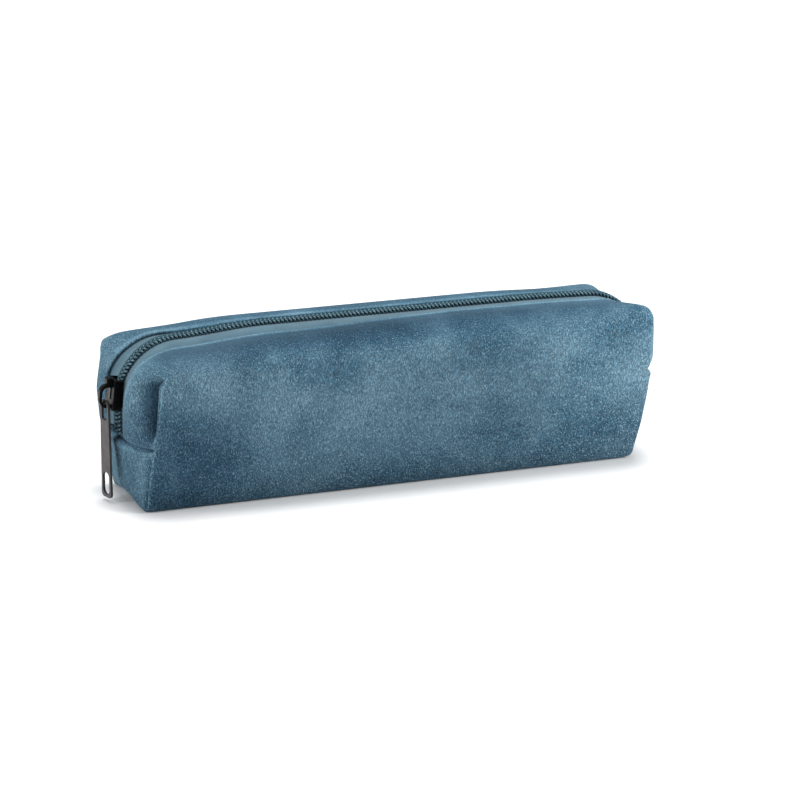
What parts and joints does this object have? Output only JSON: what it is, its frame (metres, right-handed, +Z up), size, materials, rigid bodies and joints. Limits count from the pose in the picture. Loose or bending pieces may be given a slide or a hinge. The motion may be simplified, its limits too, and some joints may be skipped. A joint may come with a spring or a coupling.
{
  "type": "pencil case",
  "caption": "Soft boxed pencil case in teal suede cloth with a coil zipper over the top and half way down both ends, a black slider and a flat metal puller.",
  "frame": {"origin": "middle of the flat base, on the surface the case stands on", "axes": "+X along the case away from the closed slider, -Y out of the front, +Z up"},
  "size_m": [0.2141, 0.055, 0.0648],
  "materials": {
    "suede": "brushed suede cloth",
    "lining_cloth": "plain woven lining",
    "zip_tape": "woven tape",
    "coil_plastic": "nylon coil",
    "coil_cord": "spun cord",
    "coil_thread": "sewing thread",
    "binding": "woven binding tape",
    "black_metal": "gloss black",
    "spring_steel": "plain",
    "gunmetal": "satin gunmetal with black edges"
  },
  "bodies": {
    "case": {"front_panel": "suede", "back_panel": "suede", "front_lining": "lining_cloth", "back_lining": "lining_cloth", "front_zip_tape": "zip_tape", "back_zip_tape": "zip_tape", "front_zip_coil": "coil_plastic", "back_zip_coil": "coil_plastic", "front_coil_cord": "coil_cord", "back_coil_cord": "coil_cord", "front_coil_stitching": "coil_thread", "back_coil_stitching": "coil_thread", "base_seam_binding": "binding", "left_end_binding": "binding", "right_end_binding": "binding", "front_left_corner_binding": "binding", "back_left_corner_binding": "binding", "front_right_corner_binding": "binding", "back_right_corner_binding": "binding"},
    "slider": {"slider_body": "black_metal", "slider_crown": "black_metal", "lock_spring": "spring_steel"},
    "puller": {"puller": "gunmetal"}
  },
  "joints": [
    {"name": "slider_turn", "type": "hinge", "parent": "case", "child": "slider", "pos_m": [-0.0798, 0, 0.038], "axis": [0, 1, 0], "range_deg": [-2, 72]},
    {"name": "puller_swing", "type": "hinge", "parent": "slider", "child": "puller", "pos_m": [-0.10737, 0, 0.03831], "axis": [0, 1, 0], "range_deg": [-2, 135]}
  ]
}
